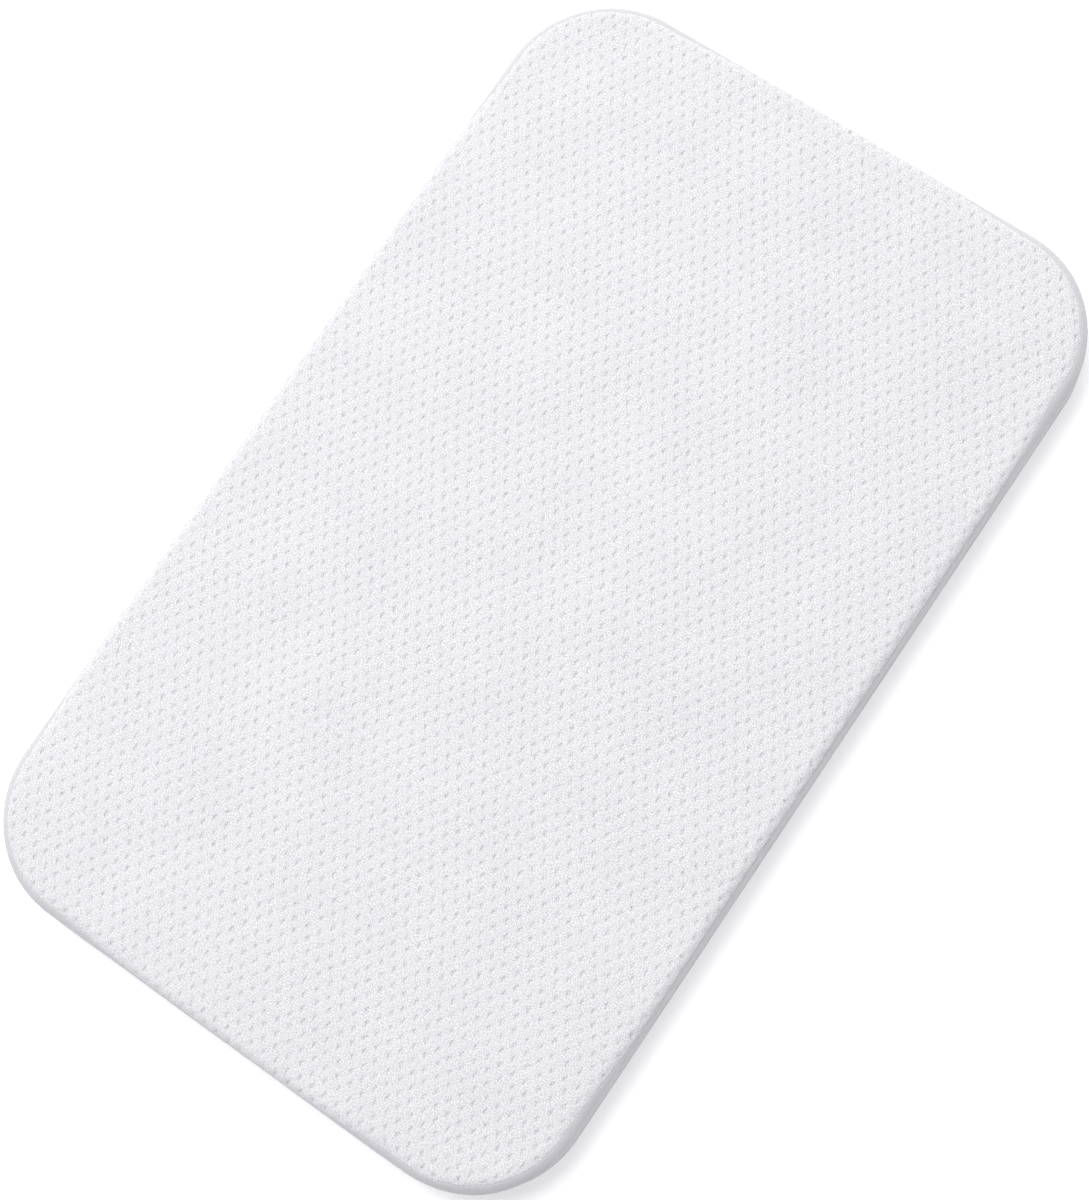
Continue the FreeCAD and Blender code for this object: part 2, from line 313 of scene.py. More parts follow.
def pucker(to_seam, along, seed):
    """How far the fabric is drawn in beside a seam, more at each stitch."""
    wander = 2.5 * smooth_noise(along[..., None], 0.05, seed)
    gather = 1 + np.sin(2 * math.pi * along / (5.5 * MM) + wander)
    near = np.exp(-np.maximum(to_seam, 0) / (3.2 * MM))
    return near * (0.1 + 0.1 * gather) * MM


def round_the_edge(centre, direction):
    """A distance along the outline, for seams round a panel."""
    angle = np.arctan2(direction[..., 1], direction[..., 0])
    return angle * CORNER + centre[..., 0] * np.sign(direction[..., 1]) - centre[..., 1] * np.sign(direction[..., 0])


# ---------------------------------------------------------------- pieces of the cover


def dimple_field(plan):
    """The bubble knit: the fall from the top of each puff, the depth of its dimples, and the painted shade of its
    stitch holes.

    The first and the last go from 0 to -1 and from 0 to 1.
    """
    warp = np.stack([smooth_noise(plan, 0.16, 3), smooth_noise(plan, 0.19, 4)], -1) * 0.9 * MM
    fabric = plan + warp
    pit = np.zeros(plan.shape[:2])
    painted_hole_shade = np.zeros(plan.shape[:2])
    for shift, seed in ((0.0, 11), (0.5, 12)):
        rng = np.random.default_rng(seed)
        cell = np.round(fabric / [PITCH_X, PITCH_Y] - shift).astype(int)
        first = cell.reshape(-1, 2).min(0)
        size = cell.reshape(-1, 2).max(0) - first + 1
        offset = rng.normal(size=(*size, 2)) * [0.45 * MM, 0.3 * MM]
        strength = rng.uniform(0.5, 1.15, size=(len(STITCH_HOLES), *size))
        slant = rng.normal(size=size) * 0.12
        index = tuple(np.moveaxis(cell - first, -1, 0))
        local = (fabric - (cell + shift) * [PITCH_X, PITCH_Y] - offset[index]) / MM
        x = local[..., 0]
        y = local[..., 1] + slant[index] * x
        holes = 0
        for (hole_x, hole_y, depth), pull in zip(STITCH_HOLES, strength):
            hole = np.exp(-(((x - hole_x) / 0.68) ** 2) - ((y - hole_y) / 0.52) ** 2)
            holes = holes + depth * pull[index] * hole
        dent = np.exp(-((np.abs(x) / 2.7) ** 3) - ((y + 0.6) / 1.6) ** 2)
        pit = pit + holes * HOLE_DEPTH + dent * DENT_DEPTH
        # painted shade: how much the colour darkens in each stitch hole, from 0 to 1
        painted_hole_shade = np.maximum(painted_hole_shade, np.minimum(holes, 1))
    ripple = np.cos(2 * math.pi * fabric[..., 0] / PITCH_X) * np.cos(2 * math.pi * fabric[..., 1] / PITCH_Y)
    puff = -0.5 * (1 + ripple) * (1 + 0.35 * smooth_noise(plan, 0.03, 5))
    return puff, pit, painted_hole_shade


def make_top_panel():
    """The bubble knit that covers the top and turns down over the edge to its seam."""
    flat = CORNER - TOP_ROLL
    tail = seam_tail(SEAM_LIP, TOP_FABRIC) - SEAM_LIP
    radius = flat + TOP_ROLL * CORNER_SEAM_TURN + tail
    centre, direction, distance = panel_plan(904, 752, radius, 2.4 * MM)
    roll, seam = top_roll(centre, direction), at_top_seam(centre, direction)
    stretch = (CORNER - roll + seam + tail - flat) / (radius - flat)
    past = flat + np.maximum(distance - flat, 0) * stretch - np.maximum(flat - distance, 0) - (CORNER - roll)
    plan = centre + direction * (CORNER - roll + past)[..., None]
    place, depth = turn_in(past, -1.0, seam, SEAM_LIP)
    surface, normal = wrap(centre, direction, place, roll, TOP, 1)
    puff, pit, painted_hole_shade = dimple_field(plan)
    fade = np.clip((seam - place) / (4 * MM), 0, 1)
    bent = np.clip((place + 5 * MM) / (8 * MM), 0, 1)
    rise = (PUFF_HEIGHT + (EDGE_PUFF - PUFF_HEIGHT) * bent) * puff * (0.4 + 0.6 * fade) - pit * fade
    rise += 0.15 * MM * smooth_noise(plan, 0.11, 6) * fade
    rise -= pucker(seam - place, round_the_edge(centre, direction), 21)
    outer = surface + normal * (rise - depth)[..., None]
    inner_surface, inner_normal = wrap(centre, direction, np.minimum(past, seam), roll, TOP, 1)
    inner = inner_surface - inner_normal * (TOP_FABRIC + HOLE_DEPTH)
    # the painted shade of the stitch holes goes to the material as a point attribute
    return sheet_mesh("cover_top", outer, inner, 8, plan, {"painted_hole_shade": painted_hole_shade * fade})


def border_piece(
    name, start, end, upper, lower, cells_along, cells_down, lips=(SEAM_LIP, SEAM_LIP), belly=0.5, stitched=()
):
    """A piece of the border between two distances along the outline and two distances down the fabric.

    upper and lower are functions of the centres and directions of the outline. lips are the roundings of the
    upper and the lower edge, belly is how far the middle stands out, in millimetres, and stitched are the
    heights of its rows of stitches.
    """
    tail = seam_tail(SEAM_LIP, SIDE_FABRIC) - SEAM_LIP
    along = start - tail + spaced(cells_along, 1.6 * MM / (end - start)) * (end - start + 2 * tail)
    place_along, depth_along = turn_in(along, start, end, SEAM_LIP)
    centre, direction = outline(place_along)
    top, bottom = upper(centre, direction), lower(centre, direction)
    tails = [seam_tail(lip, SIDE_FABRIC) - lip for lip in lips]
    length = bottom - top + sum(tails)
    down = spaced(cells_down, 1.8 * MM / length.mean())
    drop = (top - tails[0])[:, None] + length[:, None] * down[None, :]
    middle = (top + bottom)[:, None] / 2
    near_top = drop < middle
    place_top, depth_top = turn_in(drop, top[:, None], 1.0, lips[0])
    place_bottom, depth_bottom = turn_in(drop, -1.0, bottom[:, None], lips[1])
    place = np.where(near_top, place_top, place_bottom)
    depth = np.where(near_top, depth_top, depth_bottom) + depth_along[:, None]
    centre, direction = centre[:, None], direction[:, None]
    shape = drop.shape + (2,)
    centre, direction = np.broadcast_to(centre, shape), np.broadcast_to(direction, shape)
    roll = top_roll(centre, direction)
    surface, normal = wrap(centre, direction, place, roll, TOP, 1)
    fabric = np.stack(np.broadcast_arrays(along[:, None], drop), -1)
    foot = at_height(BOTTOM_SEAM)(centre, direction)
    rise = border_rise(fabric, place, top[:, None], bottom[:, None], foot, belly)
    for height in stitched:
        rise -= topstitch_groove(fabric, place, at_height(height)(centre, direction))
    to_end = np.minimum(place_along - start, end - place_along)[:, None] + 0 * drop
    rise -= pucker(to_end, fabric[..., 1], 24)
    outer = surface + normal * (rise - depth)[..., None]
    inner_centre, inner_direction = outline(np.clip(along, start, end))
    inner_centre = np.broadcast_to(inner_centre[:, None], shape)
    inner_direction = np.broadcast_to(inner_direction[:, None], shape)
    inner_drop = np.clip(drop, top[:, None], bottom[:, None])
    inner_surface, inner_normal = wrap(inner_centre, inner_direction, inner_drop, roll, TOP, 1)
    return sheet_mesh(name, outer, inner_surface - inner_normal * SIDE_FABRIC, 4, fabric)


def topstitch_groove(fabric, place, row):
    """How far a row of stitches draws the fabric in, most at each needle hole."""
    needle = 0.7 + 0.3 * np.cos(2 * math.pi * fabric[..., 0] / STITCH_PITCH)
    return 0.35 * MM * needle * np.exp(-(((place - row) / (0.8 * MM)) ** 2))


def border_rise(fabric, place, top, bottom, foot, belly):
    """How far the border stands out: a soft belly with long waves, drawn in at the seams, and a bottom ridge."""
    share = np.clip((place - top) / (bottom - top), 0, 1)
    rise = np.sin(math.pi * share) * (belly + 0.3 * smooth_noise(fabric * [1, 0.6], 0.09, 31)) * MM
    rise -= pucker(place - top, fabric[..., 0], 22)
    rise += bottom_ridge(foot - place) - 0.5 * pucker(bottom - place, fabric[..., 0], 23)
    return rise


def bottom_ridge(away):
    """The thick bottom seam stands out a little."""
    return 0.55 * MM * np.exp(-((np.abs(away) / (2.2 * MM)) ** 2))


def make_border():
    """The strip round the front side, both ends and the corners, from one end of the zip to the other."""
    end = OUTLINE_LENGTH - ZIP_END
    return border_piece("cover_border", ZIP_END, end, at_top_seam, at_height(BOTTOM_SEAM), 2000, 44)


def make_zip_strip_upper():
    name, lips, stitched = "cover_zip_strip_upper", (SEAM_LIP, FOLD_LIP), [GAP_TOP + TOPSTITCH]
    upper, lower = at_top_seam, at_height(GAP_TOP)
    return border_piece(name, -ZIP_END, ZIP_END, upper, lower, 800, 36, lips, 0.2, stitched)


def make_zip_strip_lower():
    name, lips, stitched = "cover_zip_strip_lower", (FOLD_LIP, SEAM_LIP), [GAP_BOTTOM - TOPSTITCH]
    upper, lower = at_height(GAP_BOTTOM), at_height(BOTTOM_SEAM)
    return border_piece(name, -ZIP_END, ZIP_END, upper, lower, 800, 32, lips, 0.2, stitched)


def make_bottom_panel():
    """The flat knit under the mattress, turned up to the bottom seam."""
    flat = CORNER - BOTTOM_ROLL
    edge = BOTTOM_ROLL * QUARTER
    tail = seam_tail(SEAM_LIP, BOTTOM_FABRIC) - SEAM_LIP
    centre, direction, distance = panel_plan(296, 216, flat + edge + tail, 2.4 * MM)
    plan = centre + direction * distance[..., None]
    place, depth = turn_in(distance - flat, -1.0, edge, SEAM_LIP)
    surface, normal = wrap(centre, direction, place, BOTTOM_ROLL, 0, -1)
    inwards = np.clip((-place - 10 * MM) / (60 * MM), 0, 1)
    slack = inwards * np.maximum(0.6 + 0.4 * smooth_noise(plan, 0.13, 41), 0) * 0.8 * MM
    upright = np.clip(place / edge, 0, 1) ** 2
    rise = upright * bottom_ridge(edge - place) - slack
    rise -= pucker(edge - place, round_the_edge(centre, direction), 42)
    outer = surface + normal * (rise - depth)[..., None]
    inner_surface, inner_normal = wrap(centre, direction, np.minimum(distance - flat, edge), BOTTOM_ROLL, 0, -1)
    inner = inner_surface - inner_normal * (BOTTOM_FABRIC + slack[..., None])
    return sheet_mesh("cover_bottom", outer, inner, 4, plan)


# ---------------------------------------------------------------- zip


def flat_panel(name, low, high, front, thickness, cells_x, cells_z, lip, rise):
    """A small flat piece of fabric that faces +Y, with rounded edges; rise is a function of its fabric grid."""
    tail = seam_tail(lip, thickness) - lip
    x = low[0] - tail + spaced(cells_x, 1.2 * tail / (high[0] - low[0])) * (high[0] - low[0] + 2 * tail)
    z = low[1] - tail + spaced(cells_z, 1.2 * tail / (high[1] - low[1])) * (high[1] - low[1] + 2 * tail)
    place_x, depth_x = turn_in(x, low[0], high[0], lip)
    place_z, depth_z = turn_in(z, low[1], high[1], lip)
    fabric = np.stack(np.meshgrid(x, z, indexing="ij"), -1)
    place = np.stack(np.meshgrid(place_x, place_z, indexing="ij"), -1)
    height = rise(place)
    depth = np.minimum(depth_x[:, None] + depth_z[None, :], thickness)
    outer = np.stack([place[..., 0], front + height - depth, place[..., 1]], -1)
    inner = np.stack([place[..., 0], front + height - thickness, place[..., 1]], -1)
    return sheet_mesh(name, outer, inner, 2, fabric)


def make_tape(name, node):
    """One woven zip tape, a little uneven."""
    low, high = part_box(node)

    def rise(place):
        return 0.05 * MM * smooth_noise(place, 0.03, 51)

    size = high.y - low.y
    return flat_panel(name, (low.x, low.z), (high.x, high.z), high.y, size, 500, 28, 0.2 * MM, rise)


def make_coil(name, node, side):
    """One nylon coil: flat turns that stop just short of the middle of the zip, where the divider passes."""
    low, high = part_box(node)
    root = high.z if side > 0 else low.z
    tip = ZIP_HEIGHT + side * COIL_GAP
    width = abs(root - tip) / 2 - COIL_WIRE
    height = (high.y - low.y) / 2 - COIL_WIRE
    turns = int((high.x - low.x - 2 * COIL_WIRE) / COIL_PITCH) - 1
    angle = np.linspace(0, turns * 2 * math.pi, turns * 14 + 1)
    shift = 0.5 if side > 0 else 0.0
    start = (low.x + high.x) / 2 - turns * COIL_PITCH / 2 + (shift - 0.25) * COIL_PITCH
    x = start + angle / (2 * math.pi) * COIL_PITCH
    y = (low.y + high.y) / 2 + height * np.cos(angle)
    z = (root + tip) / 2 + width * np.sin(angle)
    path = np.stack([x, y, z], -1)
    out = np.stack([0 * angle, np.cos(angle) / height, np.sin(angle) / width], -1)
    out /= np.linalg.norm(out, axis=-1, keepdims=True)
    along = np.gradient(path, axis=0)
    along /= np.linalg.norm(along, axis=-1, keepdims=True)
    side_way = np.cross(along, out)
    points, polygons = tube_parts(path, side_way[:, None], out[:, None], COIL_WIRE, 6, 0)
    return build_mesh(name, points, outwards(points, polygons))


def make_end_tab(name, node):
    """A folded tab over the cut end of the zip, lifted by the coils under it."""
    low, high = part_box(node)
    middle = (low.z + high.z) / 2
    half = (high.z - low.z) / 2

    def rise(place):
        across = np.abs(place[..., 1] - middle) / half
        hump = np.clip(1.15 * (1 - across**3), 0, 1)
        return -(1 - hump) * 1.7 * MM + 0.08 * MM * smooth_noise(place, 0.006, 61)

    return flat_panel(name, (low.x, low.z), (high.x, high.z), high.y - 0.1 * MM, 1.2 * MM, 40, 40, 0.5 * MM, rise)


def make_label():
    """A blank folded ribbon, sewn to the border along its top edge and lifting a little at its foot."""
    low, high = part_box("care_label")

    def rise(place):
        drop = (high.z - place[..., 1]) / (high.z - low.z)
        curl = drop**2 * (0.9 + 0.5 * np.sin((place[..., 0] - low.x) / (high.x - low.x) * math.pi + 0.6))
        return 0.5 * MM + 0.6 * curl * MM + 0.06 * MM * smooth_noise(place, 0.008, 62)

    return flat_panel("cover_label", (low.x, low.z), (high.x, high.z), high.y, 1.5 * MM, 56, 48, 0.2 * MM, rise)


def make_stitches(name, start, end, surface_at):
    """A straight row of lockstitches; surface_at gives the point and the outward normal at a place on the row."""
    count = int(np.linalg.norm(np.subtract(end, start)) / STITCH_PITCH)
    row = np.subtract(end, start) / np.linalg.norm(np.subtract(end, start))
    steps = np.linspace(-1, 1, 9)
    all_points, all_polygons, first = [], [], 0
    for i in range(count):
        middle = np.add(start, row * (i + 0.5) * STITCH_PITCH)
        places = middle + row * steps[:, None] * 0.42 * STITCH_PITCH
        path, out = surface_at(places)
        path = path + out * (1.3 * THREAD * (1 - steps[:, None] ** 4) - 0.7 * THREAD)
        across = np.broadcast_to(np.cross(out, np.array([row[0], 0, row[1]])), out.shape)
        radius = THREAD * np.sqrt(np.clip(1 - steps**8, 0.05, 1))
        points, polygons = tube_parts(path, across[:, None], out[:, None], radius, 6, first)
        all_points.append(points)
        all_polygons.append(polygons)
        first += len(points)
    points = np.concatenate(all_points)
    polygons = [np.concatenate([parts[k] for parts in all_polygons]) for k in range(3)]
    return build_mesh(name, points, outwards(points, polygons))


def on_wall(places):
    """Points on the +Y wall of the cover and its normals, for places given by X and Z."""
    y = np.full(len(places), HALF_WIDTH - 0.05 * MM)
    out = np.broadcast_to([0.0, 1.0, 0.0], (len(places), 3))
    return np.stack([places[:, 0], y, places[:, 1]], -1), out


# ---------------------------------------------------------------- inside


def make_liner(name, node, side):
    """One half of the thin inner sock."""
    low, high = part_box(node)
    inset = HALF_LENGTH - high.x
    level = high.z if side > 0 else low.z
    roll = (TOP_ROLL if side > 0 else BOTTOM_ROLL * 2) - inset * 0.5
    flat = CORNER - inset - roll
    depth = high.z - low.z
    radius = flat + roll * QUARTER + depth - roll
    centre, direction, distance = panel_plan(160, 112, radius, 2 * MM)
    surface, normal = wrap(centre, direction, distance - flat, roll, level, side, inset)
    plan = centre + direction * distance[..., None]
    crumple = 0.25 * MM * smooth_noise(surface, 0.03, 71)
    outer = surface - normal * (0.3 * MM + crumple[..., None])
    return sheet_mesh(name, outer, outer - normal * 0.5 * MM, 2, plan)


def make_foam(name, node, roll, side):
    """A slab of foam: its rounded face and walls, and its flat glued face."""
    low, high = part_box(node)
    inset = HALF_LENGTH - high.x
    level, other = (high.z, low.z) if side > 0 else (low.z, high.z)
    flat = CORNER - inset - roll
    depth = high.z - low.z
    radius = flat + roll * QUARTER + depth - roll
    centre, direction, distance = panel_plan(200, 140, radius, 2 * MM)
    surface, normal = wrap(centre, direction, distance - flat, roll, level, side, inset)
    plan = centre + direction * distance[..., None]
    skin = 0.12 * MM * smooth_noise(surface, 0.012, 72)
    outer = surface - normal * (0.15 * MM + skin[..., None])
    share = distance / radius
    face = centre + direction * (share * (CORNER - inset - 0.3 * MM))[..., None]
    inner = np.concatenate([face, np.full(face.shape[:2] + (1,), other)], -1)
    return sheet_mesh(name, outer, inner, 2, plan)


# ---------------------------------------------------------------- materials


class Nodes:
    """Builds one material's node tree."""

    def __init__(self, name):
        self.material = bpy.data.materials.new(name)
        self.material.use_nodes = True
        self.tree = self.material.node_tree
        self.shader = self.tree.nodes["Principled BSDF"]

    def add(self, kind, settings=None, **inputs):
        """A node with its settings and inputs; an input is a value or another node's socket."""
        node = self.tree.nodes.new(kind)
        for key, value in (settings or {}).items():
            setattr(node, key, value)
        for key, value in inputs.items():
            self.set(node, key.replace("_", " "), value)
        return node

    def set(self, node, key, value):
        socket = node.inputs[int(key[1:])] if key[1:].isdigit() else node.inputs[key]
        if isinstance(value, bpy.types.NodeSocket):
            self.tree.links.new(value, socket)
        else:
            socket.default_value = value

    def math(self, operation, first, second=0.0, third=0.0):
        node = self.add("ShaderNodeMath", {"operation": operation}, i0=first, i1=second, i2=third)
        return node.outputs[0]

    def noise(self, vector, scale, detail=2.0, roughness=0.5):
        node = self.add("ShaderNodeTexNoise", Vector=vector, Scale=scale, Detail=detail, Roughness=roughness)
        return node.outputs["Fac"]

    def fabric_place(self):
        """Distances along and across the fabric, in metres."""
        place = self.add("ShaderNodeUVMap", {"uv_map": "Fabric"}).outputs[0]
        parts = self.add("ShaderNodeSeparateXYZ", Vector=place)
        return place, parts.outputs[0], parts.outputs[1]

    def object_place(self):
        return self.add("ShaderNodeTexCoord").outputs["Object"]

    def tint(self, amount, dark, light):
        """A colour between two, by an amount from 0 to 1."""
        ramp = self.add("ShaderNodeValToRGB", Fac=amount)
        ramp.color_ramp.elements[0].color = (*dark, 1)
        ramp.color_ramp.elements[1].color = (*light, 1)
        return ramp.outputs[0]

    def bump(self, height, distance, strength=1.0):
        node = self.add("ShaderNodeBump", Height=height, Distance=distance, Strength=strength)
        self.set(self.shader, "Normal", node.outputs[0])

    def knit(self, across, along, wale, course):
        """Height of a plain knit: columns of V-shaped stitches."""
        column = self.math("FRACT", self.math("DIVIDE", across, wale))
        off = self.math("ABSOLUTE", self.math("SUBTRACT", column, 0.5))
        row = self.math("ADD", self.math("DIVIDE", along, course), off)
        stitch = self.math("SINE", self.math("MULTIPLY", row, 2 * math.pi))
        ridge = self.math("SUBTRACT", 1.0, self.math("MULTIPLY", off, 1.6))
        return self.math("MULTIPLY_ADD", stitch, 0.35, ridge)

    def cloth(self, roughness, sheen):
        self.set(self.shader, "Roughness", roughness)
        self.shader.inputs["Sheen Weight"].default_value = sheen
        self.shader.inputs["Sheen Roughness"].default_value = 0.45
        self.shader.inputs["Specular IOR Level"].default_value = 0.25


def top_fabric():
    nodes = Nodes("top_fabric")
    place, across, along = nodes.fabric_place()
    grain = nodes.noise(place, 900.0, 3.0, 0.65)
    mottle = nodes.noise(place, 14.0, 2.0)
    painted_hole_shade = nodes.add("ShaderNodeAttribute", {"attribute_name": "painted_hole_shade"}).outputs["Fac"]
    level = nodes.math("MULTIPLY_ADD", mottle, 0.15, nodes.math("MULTIPLY", grain, 3.0))
    # painted shade: the colour darkens in the stitch holes
    level = nodes.math("SUBTRACT", level, nodes.math("MULTIPLY_ADD", painted_hole_shade, 0.95, 1.05))
    nodes.set(nodes.shader, "Base Color", nodes.tint(level, (0.53, 0.53, 0.555), (0.975, 0.975, 0.99)))
    nodes.cloth(nodes.math("MULTIPLY_ADD", grain, 0.15, 0.78), 0.25)
    stitches = nodes.knit(across, along, 1.15 * MM, 0.9 * MM)
    nodes.bump(nodes.math("MULTIPLY_ADD", grain, 1.6, nodes.math("MULTIPLY", stitches, 0.5)), 0.38 * MM)
    return nodes.material


def side_fabric():
    nodes = Nodes("side_fabric")
    place, along, down = nodes.fabric_place()
    grain = nodes.noise(place, 900.0, 2.0, 0.6)
    stretched = nodes.add("ShaderNodeMapping", Vector=place, Scale=(9.0, 260.0, 1.0)).outputs[0]
    streaks = nodes.noise(stretched, 1.0, 3.0)
    level = nodes.math("MULTIPLY_ADD", streaks, 0.5, nodes.math("MULTIPLY", grain, 0.4))
    # painted shade: the border knit is a grey well below the white of the top knit, so the walls read darker than
    # the top
    nodes.set(nodes.shader, "Base Color", nodes.tint(level, (0.57, 0.57, 0.59), (0.70, 0.70, 0.72)))
    nodes.cloth(nodes.math("MULTIPLY_ADD", grain, 0.12, 0.74), 0.2)
    stitches = nodes.knit(along, down, 0.85 * MM, 0.7 * MM)
    nodes.bump(nodes.math("MULTIPLY_ADD", grain, 0.6, stitches), 0.12 * MM)
    return nodes.material


def bottom_fabric():
    nodes = Nodes("bottom_fabric")
    place, across, along = nodes.fabric_place()
    grain = nodes.noise(place, 700.0, 3.0, 0.6)
    mottle = nodes.noise(place, 11.0, 2.0)
    level = nodes.math("MULTIPLY_ADD", mottle, 0.4, nodes.math("MULTIPLY", grain, 0.5))
    nodes.set(nodes.shader, "Base Color", nodes.tint(level, (0.70, 0.70, 0.71), (0.80, 0.80, 0.82)))
    nodes.cloth(nodes.math("MULTIPLY_ADD", grain, 0.15, 0.78), 0.15)
    stitches = nodes.knit(along, across, 1.3 * MM, 1.0 * MM)
    nodes.bump(nodes.math("MULTIPLY_ADD", grain, 0.8, stitches), 0.2 * MM)
    return nodes.material


def twill_tape():
    """Woven tape: fine diagonal ribs."""
    nodes = Nodes("zip_tape")
    place, along, across = nodes.fabric_place()
    slope = nodes.math("ADD", nodes.math("DIVIDE", along, 0.8 * MM), nodes.math("DIVIDE", across, 0.8 * MM))
    rib = nodes.math("SINE", nodes.math("MULTIPLY", slope, 2 * math.pi))
    yarn = nodes.math("SINE", nodes.math("MULTIPLY", along, 2 * math.pi / (0.45 * MM)))
    grain = nodes.noise(place, 1200.0, 2.0)
    level = nodes.math("MULTIPLY_ADD", rib, 0.12, nodes.math("MULTIPLY", grain, 0.9))
    nodes.set(nodes.shader, "Base Color", nodes.tint(level, (0.66, 0.66, 0.66), (0.82, 0.82, 0.82)))
    nodes.cloth(nodes.math("MULTIPLY_ADD", grain, 0.15, 0.6), 0.1)
    nodes.bump(nodes.math("MULTIPLY_ADD", yarn, 0.3, rib), 0.1 * MM)
    return nodes.material


def satin_ribbon():
    """Blank label tape: fine yarns across it with a satin shine."""
    nodes = Nodes("label_fabric")
    place, along, across = nodes.fabric_place()
    yarn = nodes.math("SINE", nodes.math("MULTIPLY", across, 2 * math.pi / (0.35 * MM)))
    grain = nodes.noise(place, 500.0, 3.0)
    nodes.set(nodes.shader, "Base Color", nodes.tint(grain, (0.62, 0.62, 0.635), (0.75, 0.75, 0.765)))
    nodes.cloth(nodes.math("MULTIPLY_ADD", grain, 0.2, 0.3), 0.1)
    nodes.shader.inputs["Specular IOR Level"].default_value = 0.5
    nodes.bump(yarn, 0.05 * MM)
    return nodes.material


def sewing_thread():
    """Twisted polyester thread."""
    nodes = Nodes("sewing_thread")
    place = nodes.object_place()
    turned = nodes.add("ShaderNodeMapping", Vector=place, Rotation=(0, 0.6, 0)).outputs[0]
    parts = nodes.add("ShaderNodeSeparateXYZ", Vector=turned)
    twist = nodes.math("SINE", nodes.math("MULTIPLY", parts.outputs[0], 2 * math.pi / (0.35 * MM)))
    level = nodes.math("MULTIPLY_ADD", twist, 0.3, 0.5)
    nodes.set(nodes.shader, "Base Color", nodes.tint(level, (0.74, 0.74, 0.74), (0.88, 0.88, 0.88)))
    nodes.cloth(nodes.math("MULTIPLY_ADD", level, 0.1, 0.4), 0.2)
    nodes.bump(twist, 0.05 * MM)
    return nodes.material


def nylon():
    """Satin monofilament of the coils."""
    nodes = Nodes("zip_coil")
    tone = nodes.noise(nodes.object_place(), 300.0, 2.0)
    nodes.set(nodes.shader, "Base Color", nodes.tint(tone, (0.64, 0.64, 0.63), (0.76, 0.76, 0.74)))
    nodes.set(nodes.shader, "Roughness", nodes.math("MULTIPLY_ADD", tone, 0.2, 0.25))
    nodes.shader.inputs["Subsurface Weight"].default_value = 0.15
    nodes.shader.inputs["Subsurface Scale"].default_value = 0.001
    nodes.bump(tone, 0.03 * MM)
    return nodes.material


def enamel():
    """White enamel on a zinc casting, thin and a little uneven."""
    nodes = Nodes("slider_metal")
    place = nodes.object_place()
    ripple = nodes.noise(place, 900.0, 2.0)
    tone = nodes.noise(place, 180.0, 3.0)
    nodes.set(nodes.shader, "Base Color", nodes.tint(tone, (0.66, 0.66, 0.65), (0.74, 0.74, 0.73)))
    nodes.set(nodes.shader, "Roughness", nodes.math("MULTIPLY_ADD", tone, 0.2, 0.22))
    nodes.shader.inputs["Coat Weight"].default_value = 0.4
    nodes.shader.inputs["Coat Roughness"].default_value = 0.15
    nodes.bump(ripple, 0.03 * MM)
    return nodes.material


def open_cells(name, dark, light):
    """Cut open-cell foam: fine pores and a slight mottle."""
    nodes = Nodes(name)
    place = nodes.object_place()
    pores = nodes.add("ShaderNodeTexVoronoi", Vector=place, Scale=900.0).outputs["Distance"]
    mottle = nodes.noise(place, 40.0, 3.0)
    level = nodes.math("MULTIPLY_ADD", pores, 0.5, nodes.math("MULTIPLY", mottle, 0.6))
    nodes.set(nodes.shader, "Base Color", nodes.tint(level, dark, light))
    nodes.cloth(nodes.math("MULTIPLY_ADD", mottle, 0.1, 0.85), 0.1)
    nodes.bump(pores, 0.3 * MM)
    return nodes.material


def thin_jersey():
    """The liner's thin stretch knit."""
    nodes = Nodes("liner_fabric")
    place, across, along = nodes.fabric_place()
    grain = nodes.noise(place, 500.0, 3.0)
    nodes.set(nodes.shader, "Base Color", nodes.tint(grain, (0.72, 0.72, 0.72), (0.84, 0.84, 0.84)))
    nodes.cloth(nodes.math("MULTIPLY_ADD", grain, 0.1, 0.8), 0.1)
    nodes.bump(nodes.knit(across, along, 1.0 * MM, 0.8 * MM), 0.15 * MM)
    return nodes.material


# ---------------------------------------------------------------- studio


def make_floor():
    """A plain pale floor, lit well enough to stay white."""
    size = 12.0
    corners = [(-size, -size, 0), (size, -size, 0), (size, size, 0), (-size, size, 0)]
    floor = build_mesh("floor", corners, [np.array([[0, 1, 2, 3]])])
    nodes = Nodes("floor_paint")
    speckle = nodes.noise(nodes.object_place(), 60.0, 3.0)
    nodes.set(nodes.shader, "Base Color", nodes.tint(speckle, (0.88, 0.88, 0.88), (0.90, 0.90, 0.90)))
    nodes.set(nodes.shader, "Roughness", nodes.math("MULTIPLY_ADD", speckle, 0.05, 0.9))
    nodes.shader.inputs["Emission Color"].default_value = (1.0, 1.0, 1.0, 1)
    nodes.shader.inputs["Emission Strength"].default_value = 0.3
    floor.data.materials.append(nodes.material)


def soft_light(name, place, size, power, colour):
    """A square soft box that faces the mattress."""
    light = bpy.data.lights.new(name, "AREA")
    light.shape = "SQUARE"
    light.size = size
    light.energy = power
    light.color = colour
    lamp = bpy.data.objects.new(name, light)
    lamp.location = place
    lamp.rotation_euler = (-Vector(place)).to_track_quat("-Z", "Y").to_euler()
    bpy.context.scene.collection.objects.link(lamp)


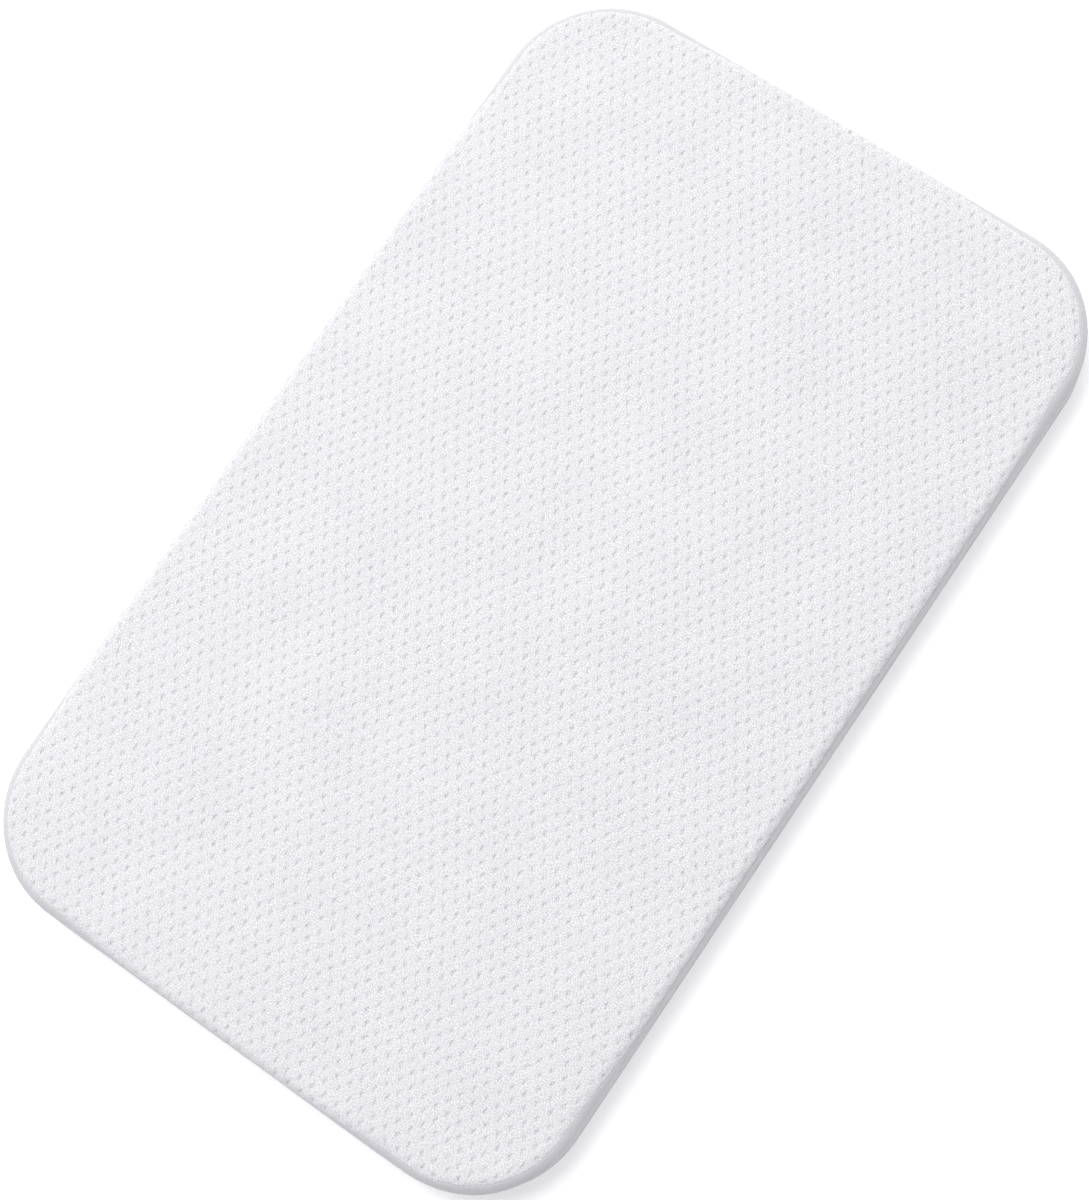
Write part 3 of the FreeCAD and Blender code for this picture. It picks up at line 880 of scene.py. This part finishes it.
def make_lights():
    """A soft sky that is brighter on the +X and +Y sides, and one large soft box on the +Y side."""
    world = bpy.data.worlds.new("studio")
    world.use_nodes = True
    tree = world.node_tree
    place = tree.nodes.new("ShaderNodeTexCoord")
    lean = tree.nodes.new("ShaderNodeVectorMath")
    lean.operation = "DOT_PRODUCT"
    lean.inputs[1].default_value = (0.75, 0.66, 0.0)
    tree.links.new(place.outputs["Generated"], lean.inputs[0])
    ramp = tree.nodes.new("ShaderNodeMapRange")
    ramp.data_type = "FLOAT_VECTOR"
    ramp.inputs[7].default_value = (-1.0, -1.0, -1.0)
    ramp.inputs[8].default_value = (1.0, 1.0, 1.0)
    ramp.inputs[9].default_value = (0.24, 0.23, 0.28)
    ramp.inputs[10].default_value = (1.08, 1.09, 1.08)
    tree.links.new(lean.outputs["Value"], ramp.inputs[6])
    tree.links.new(ramp.outputs[1], tree.nodes["Background"].inputs["Color"])
    bpy.context.scene.world = world
    soft_light("key", (0.5, 1.2, 3.7), 2.2, 108.0, (1.0, 0.99, 0.985))


def make_camera():
    """A view from above, with the length of the mattress running up the picture to the right."""
    camera = bpy.data.cameras.new("camera")
    camera.lens = 69.0
    camera.clip_end = 50.0
    camera_object = bpy.data.objects.new("camera", camera)
    place = Vector((-0.1777, -0.3703, 1.7282))
    target = Vector((-0.0139, -0.0102, 0.0254))
    up = Vector((0.822, 0.536, 0.192))
    back = (place - target).normalized()
    right = up.cross(back).normalized()
    axes = Matrix((right, back.cross(right), back)).transposed().to_4x4()
    camera_object.matrix_world = Matrix.Translation(place) @ axes
    bpy.context.scene.collection.objects.link(camera_object)
    bpy.context.scene.camera = camera_object
    bpy.context.scene.view_settings.view_transform = "Standard"


# ---------------------------------------------------------------- assembly


def dress(piece, material, slot, *replaced):
    """Gives a piece its material and its body, and hides the CAD nodes it stands for; slot is not used."""
    piece.data.materials.append(material)
    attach(piece, "mattress")
    if replaced:
        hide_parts(*replaced)
    return piece


def make_cover(side_cloth, thread):
    """The sewn cover: top, border, zip strips, bottom and label."""
    top = dress(make_top_panel(), top_fabric(), "top_fabric", "top_panel")
    border = dress(make_border(), side_cloth, "side_fabric", "border_strip")
    upper = dress(make_zip_strip_upper(), side_cloth, "side_fabric", "zip_strip_upper")
    lower = dress(make_zip_strip_lower(), side_cloth, "side_fabric", "zip_strip_lower")
    bottom = dress(make_bottom_panel(), bottom_fabric(), "bottom_fabric", "bottom_panel")
    label = dress(make_label(), satin_ribbon(), "label_fabric", "care_label")
    low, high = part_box("care_label")
    rows = [
        ("stitches_zip_upper", (-ZIP_END, GAP_TOP + TOPSTITCH), (ZIP_END, GAP_TOP + TOPSTITCH), upper),
        ("stitches_zip_lower", (-ZIP_END, GAP_BOTTOM - TOPSTITCH), (ZIP_END, GAP_BOTTOM - TOPSTITCH), lower),
        ("stitches_label", (low.x + MM, high.z - 1.5 * MM), (high.x - MM, high.z - 1.5 * MM), label),
    ]
    pieces = {upper: [], lower: [], label: []}
    for name, start, end, cloth in rows:
        slot = "label_fabric" if cloth == label else "side_fabric"
        pieces[cloth].append(dress(make_stitches(name, start, end, on_wall), thread, slot))


def make_zip(side_cloth):
    """Tapes, coils and the tabs over their ends; the slider and its pull keep their CAD shape."""
    tape_cloth, coil_nylon, metal = twill_tape(), nylon(), enamel()
    for place, side in (("upper", 1), ("lower", -1)):
        node = "zip_tape_" + place
        tape = dress(make_tape("tape_" + place, node), tape_cloth, "zip_tape", node)
        node = "zip_coil_" + place
        dress(make_coil("coil_" + place, node, side), coil_nylon, "zip_coil", node)
    for place in ("closed", "open"):
        node = "zip_end_tab_" + place
        tab = dress(make_end_tab("end_tab_" + place, node), side_cloth, "side_fabric", node)
    for node in ("zip_slider", "pull_tab"):
        piece = bpy.data.objects[node]
        piece.data.materials.clear()
        piece.data.materials.append(metal)


def make_core():
    """The foam and its liner, inside the cover."""
    support = open_cells("support_foam", (0.78, 0.78, 0.76), (0.88, 0.88, 0.86))
    memory = open_cells("memory_foam", (0.80, 0.76, 0.64), (0.88, 0.85, 0.74))
    slab = dress(make_foam("foam_support", "support_foam", BOTTOM_ROLL, -1), support, "support_foam", "support_foam")
    slab = dress(make_foam("foam_memory", "memory_foam", TOP_ROLL * 0.7, 1), memory, "memory_foam", "memory_foam")
    jersey = thin_jersey()
    for place, side in (("upper", 1), ("lower", -1)):
        node = "liner_" + place
        half = dress(make_liner("sock_" + place, node, side), jersey, "liner_fabric", node)


make_camera()
make_floor()
make_lights()
side_cloth = side_fabric()
make_cover(side_cloth, sewing_thread())
make_zip(side_cloth)
make_core()
